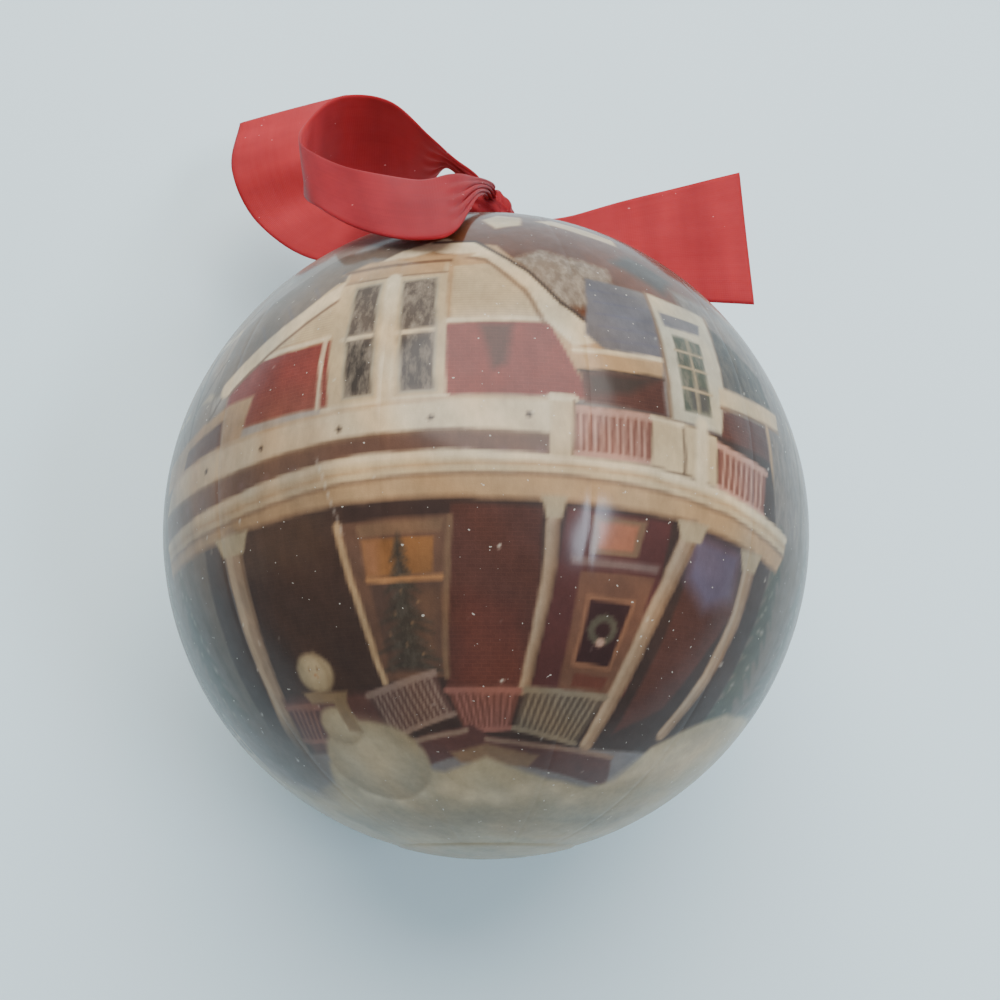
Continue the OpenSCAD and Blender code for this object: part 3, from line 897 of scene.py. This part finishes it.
def paper_piece(name, lon_range, lat_range, step, radius, border, material, free_edge=None):
    """A piece of printed paper over the ball, its sides, or its free edge, pressed down."""
    columns = max(int(round((lon_range[1] - lon_range[0]) / step)), 8) + 1
    rows = max(int(round((lat_range[1] - lat_range[0]) / step)), 8) + 1
    u = np.linspace(*lon_range, columns)
    v = np.linspace(*lat_range, rows)
    lon, lat = (g.ravel() for g in np.meshgrid(u, v))
    rim = np.minimum(lon - lon_range[0], lon_range[1] - lon) * np.cos(np.radians(lat))
    if free_edge is not None:
        rim = np.abs(lat - free_edge)
    height = radius + ripple(lon, lat) - border * np.exp(-(rim / 0.45) ** 2)
    points = row_array(on_ball(lon, lat, height))
    faces = grid_faces(rows, columns)
    obj = mesh_object(name, points, faces, material)
    rgb, detail = paint_picture(lon, lat)
    add_colour(obj, "paint", rgb)
    add_colour(obj, "detail", detail)
    add_uv(obj, "degrees", np.stack([lon, lat], axis=1) / 100)
    return obj


def make_gores(material):
    width = 360 / GORES
    pole = math.degrees(math.acos(HOLE_R / BALL_R))
    for i, node in enumerate(GORE_NAMES):
        middle = (i * width + 180) % 360 - 180
        seen = abs(middle) <= 75
        obj = paper_piece(f"gore_{i + 1:02d}", (middle - width / 2, middle + width / 2), (-pole, pole),
                          0.42 if seen else 0.7, BALL_R, 0.03, material)
        finish_ball_piece(obj, node)


def make_patch(name, node, side, material):
    """The round paper over a pole, from the open hole or the pole to its edge."""
    edge = math.degrees(math.acos(PATCH_R / BALL_R))
    inner = math.degrees(math.acos(HOLE_R / BALL_R)) if side > 0 else 89.9
    lat_range = (edge, inner) if side > 0 else (-inner, -edge)
    obj = paper_piece(name, (-180, 180), lat_range, 0.5, BALL_R + PATCH_T, PATCH_T + 0.02,
                      material, free_edge=side * edge)
    finish_ball_piece(obj, node)


# ---------------- the ribbon

# Each station is where a straight line across the ribbon meets its two edges
LOOP = [
    [(1, -5, 7), (0, -4.5, 5.5)],
    [(-1, -13, 3), (-1, -20, -4)],
    [(-4, -20, -1), (-3, -31, -14.5)],
    [(-8, -22, -3), (-6, -32, -16)],
    [(-16, -20, 0), (-12, -28, -13)],
    [(-22, -14, 7), (-19, -22, -6)],
    [(-22, -9, 14), (-22, -8, 4)],
    [(-18, -8, 18), (-21, 4, 13)],
    [(-12, -8, 17), (-13, 8, 16)],
    [(-7, -5, 14), (-8, 7, 15)],
    [(-4, -3, 12), (-5, 1, 13.5)],
    [(-1, -2, 10), (-2, 1, 10)]]
LEFT_TAIL = [
    [(-3.5, 3.5, 4.5), (-3.5, 3, 8)],
    [(-12, 10, 5), (-10, 9, 12)],
    [(-24, 14, 7), (-16, 13, 15)],
    [(-33, 16, 14), (-19, 15, 20)],
    [(-37, 15, 22), (-20, 13, 27)],
    [(-37, 18, 32), (-21, 18, 37)]]
RIGHT_TAIL = [
    [(4.5, 0.5, 5.5), (4.5, 0.5, 3)],
    [(10, 1, 6), (10, 3, 0)],
    [(18, 2, 9), (19, 5, -3)],
    [(34, 3, 14), (36, 8, -3)]]


def spline(points):
    """A smooth line through the points, with SPAN_STEPS steps between each pair."""
    p = np.asarray(points, float)
    p = np.vstack([p[:1], p, p[-1:]])
    out = []
    for i in range(1, len(p) - 2):
        a, b, c, d = p[i - 1], p[i], p[i + 1], p[i + 2]
        for t in np.arange(SPAN_STEPS) / SPAN_STEPS:
            out.append(0.5 * (2 * b + (c - a) * t + (2 * a - 5 * b + 4 * c - d) * t ** 2
                              + (3 * b - a - 3 * c + d) * t ** 3))
    out.append(p[-2])
    return np.array(out)


def ribbon(name, stations, gather, material):
    """A ribbon strip through its stations, pleated where it is gathered.
    gather gives how strongly, from 0 to 1, at each place from its start to its end.
    Its satin face is the first layer of points and its back the second, which is marked for the paler tone
    painted as light."""
    a = spline([s[0] for s in stations])
    b = spline([s[1] for s in stations])
    n = len(a)
    across = RIBBON_COLUMNS
    u = np.linspace(0, 1, across + 1)
    grid = a[:, None] * (1 - u)[None, :, None] + b[:, None] * u[None, :, None]
    middle = (a + b) / 2
    along = np.gradient(middle, axis=0)
    normal = np.cross(along, b - a)
    normal /= np.linalg.norm(normal, axis=1)[:, None]
    steps = np.linalg.norm(np.diff(middle, axis=0), axis=1)
    length = np.concatenate([[0], np.cumsum(steps)])
    pinch = np.array([gather(t) for t in np.linspace(0, 1, n)])[:, None]
    pleats = PLEAT_H * np.sin(PLEATS * 2 * np.pi * u)[None, :] * np.sin(np.pi * u)[None, :]
    sway = SWAY_H * np.sin(length[:, None] * 0.55 + 4 * u[None, :])
    lift = pinch * pleats + (1 - pinch) * sway
    grid = grid + normal[:, None, :] * lift[:, :, None]

    du, dv = np.gradient(grid, axis=1), np.gradient(grid, axis=0)
    out = np.cross(dv, du)
    out /= np.linalg.norm(out, axis=2)[:, :, None]
    rim = np.abs(2 * u - 1) ** 24
    half = RIBBON_T / 2 * (1 + 0.35 * np.abs(2 * u - 1) ** 12 - 0.75 * rim)[None, :, None]
    front, back = grid + out * half, grid - out * half
    points = np.concatenate([front.reshape(-1, 3), back.reshape(-1, 3)])
    columns, layer = across + 1, n * (across + 1)
    faces = grid_faces(n, columns) + grid_faces(n, columns, layer, flip=True)
    for i in range(n - 1):
        p, q = i * columns, (i + 1) * columns
        faces.append((p, q, q + layer, p + layer))
        faces.append((q + across, p + across, p + across + layer, q + across + layer))
    for j in range(across):
        last = (n - 1) * columns + j
        faces.append((j + 1, j, j + layer, j + 1 + layer))
        faces.append((last, last + 1, last + 1 + layer, last + layer))
    obj = mesh_object(name, row_array(points), faces, material)
    uv = np.stack([np.tile(u * RIBBON_W, n), np.repeat(length, columns)], axis=1) / 100
    add_uv(obj, "cloth", np.vstack([uv, uv]))
    add_value(obj, "edge", np.tile(np.abs(2 * u - 1) ** 14, 2 * n))
    # The back layer is marked 1 for its paler tone, painted light; the face 0 for its darker tone, painted
    # shade
    add_value(obj, "back_painted_light", np.repeat([0.0, 1.0], layer))
    return obj


def make_ribbons(material):
    """The loop and the two tails, each run on into the knot that holds it."""
    low, high = (0.5, -1.5, KNOT_H - 1.5), (-0.5, -1, KNOT_H + 2)
    loop = ribbon("loop_strip", [[high, low]] + LOOP + [[high, low]],
                  lambda t: max(1 - 4 * t, 4 * t - 3, 0), material)
    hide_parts("ribbon_loop")
    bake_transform(loop)
    left = ribbon("left_tail_strip", [[(-1, 1.5, 4.5), (-1, 1.5, 7)]] + LEFT_TAIL,
                  lambda t: max(1 - 5 * t, 0), material)
    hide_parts("ribbon_left_tail")
    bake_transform(left)
    right = ribbon("right_tail_strip", [[(1.5, 0.5, 6.5), (1.5, 0.5, 4)]] + RIGHT_TAIL,
                   lambda t: max(1 - 3 * t, 0), material)
    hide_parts("ribbon_right_tail")
    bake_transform(right)


# ---------------- knots and neck

def ring_faces(rings, columns, start=0, closed=False):
    """Quads around rings of points; closed joins the last ring to the first."""
    faces = []
    for i in range(rings if closed else rings - 1):
        for j in range(columns):
            p, q = start + i * columns, start + (i + 1) % rings * columns
            k = (j + 1) % columns
            faces.append((p + j, p + k, q + k, q + j))
    return faces


def knot_core(radius, squash):
    """A rounded core of gathered ribbon, its pleats running from pole to pole."""
    turn = np.linspace(0, 2 * np.pi, 96, endpoint=False)
    rise = np.radians(np.linspace(-88, 88, 45))
    u, v = np.meshgrid(turn, rise)
    pleat = 0.06 * np.sin(9 * u + 2.5 * np.sin(2 * v)) + 0.035 * np.sin(17 * u - 3 * v)
    r = radius * (0.88 + pleat * np.cos(v))
    return np.stack([r * np.cos(v) * np.cos(u), r * np.cos(v) * np.sin(u), squash * r * np.sin(v)],
                    axis=2).reshape(-1, 3), ring_faces(45, 96)


def knot_turn(radius, half_width, tilt, start):
    """The knot's last turn: a gathered strip wrapped once around, slantwise."""
    turn = np.linspace(0, 2 * np.pi, 120, endpoint=False)[:, None]
    s = np.linspace(-1, 1, 23)[None, :]
    width = half_width * (1 + 0.18 * np.sin(turn + 0.6) + 0.06 * np.sin(3 * turn))
    outer = radius * (1.02 - 0.16 * s ** 2) + 0.14 * np.sin(2.5 * np.pi * s + 1.2 * np.sin(turn))
    inner = outer - 0.55
    ring = np.concatenate([outer, inner[:, ::-1]], axis=1)
    along = np.concatenate([s * width, (s * width)[:, ::-1]], axis=1)
    flat = np.stack([ring * np.cos(turn), ring * np.sin(turn), along], axis=2).reshape(-1, 3)
    about_y, about_x = (math.radians(a) for a in tilt)
    x = flat[:, 0] * math.cos(about_y) + flat[:, 2] * math.sin(about_y)
    z = flat[:, 2] * math.cos(about_y) - flat[:, 0] * math.sin(about_y)
    y = flat[:, 1] * math.cos(about_x) - z * math.sin(about_x)
    z = flat[:, 1] * math.sin(about_x) + z * math.cos(about_x)
    return np.stack([x, y, z], axis=1), ring_faces(120, 46, start, closed=True)


def finish_hanger_piece(obj, points, node):
    """The cloth marks that the satin reads, and the CAD node that the piece stands for."""
    around = np.arctan2(points[:, 1], points[:, 0]) * 4
    add_uv(obj, "cloth", np.stack([around, points[:, 2]], axis=1) / 100)
    add_value(obj, "edge", np.zeros(len(points)))
    # Marked 0: the face's darker tone, painted shade
    add_value(obj, "back_painted_light", np.zeros(len(points)))
    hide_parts(node)
    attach(obj, "hanger")


def make_knot(name, node, height, radius, squash, tilt, material):
    core, core_faces = knot_core(radius, squash)
    turn, turn_faces = knot_turn(radius * 0.96, radius * 0.52, tilt, len(core))
    points = np.vstack([core, turn]) + np.array([0, 0, height])
    obj = mesh_object(name, row_array(points), core_faces + turn_faces, material)
    finish_hanger_piece(obj, points, node)


def inner_knot_place():
    """The inner knot's centre height and radius, in mm."""
    low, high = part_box("inner_knot")
    return (low[1] + high[1]) / 2 / MM, (high[0] - low[0]) / 2 / MM * 0.92


def make_neck(material):
    """The ribbon bunched into pleats where it passes through the hole."""
    low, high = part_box("ribbon_neck")
    radius = (high[0] - low[0]) / 2 / MM
    h = np.linspace(low[1], high[1], 40)[:, None] / MM
    a = np.linspace(0, 2 * np.pi, 72, endpoint=False)[None, :]
    r = radius * (0.88 + 0.11 * np.sin(7 * a + 0.35 * h))
    points = np.stack([r * np.cos(a), r * np.sin(a), h + 0 * a], axis=2).reshape(-1, 3)
    obj = mesh_object("neck_pleats", row_array(points), ring_faces(40, 72), material)
    finish_hanger_piece(obj, points, "ribbon_neck")


def cover_node(node, material):
    """Give a piece that is kept as CAD made it its own material."""
    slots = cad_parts[node].data.materials
    slots.clear()
    slots.append(material)


# ---------------- build

place_camera()
place_lights()

PAPER = printed_paper()
PULP = papier_mache()
SATIN = satin()

make_gores(PAPER)
make_patch("top_patch", "top_pole_patch", 1, PAPER)
make_patch("bottom_patch", "bottom_pole_patch", -1, PAPER)
make_ribbons(SATIN)

for node in ("upper_half_shell", "lower_half_shell", "inner_joint_ring"):
    cover_node(node, PULP)
cover_node("stopper_washer", washer_card())

make_neck(SATIN)
make_knot("knot_outside", "outer_knot", KNOT_H, KNOT_R, 1.0, (35, 15), SATIN)
make_knot("knot_inside", "inner_knot", *inner_knot_place(), 0.8, (70, 20), SATIN)

floor_corners = [(FLOOR_REACH * x, FLOOR_REACH * y, FLOOR_Z) for x, y in ((-1, -1), (1, -1), (1, 1), (-1, 1))]
floor = mesh_object("floor", floor_corners, [(0, 1, 2, 3)], floor_paint(), smooth=False)
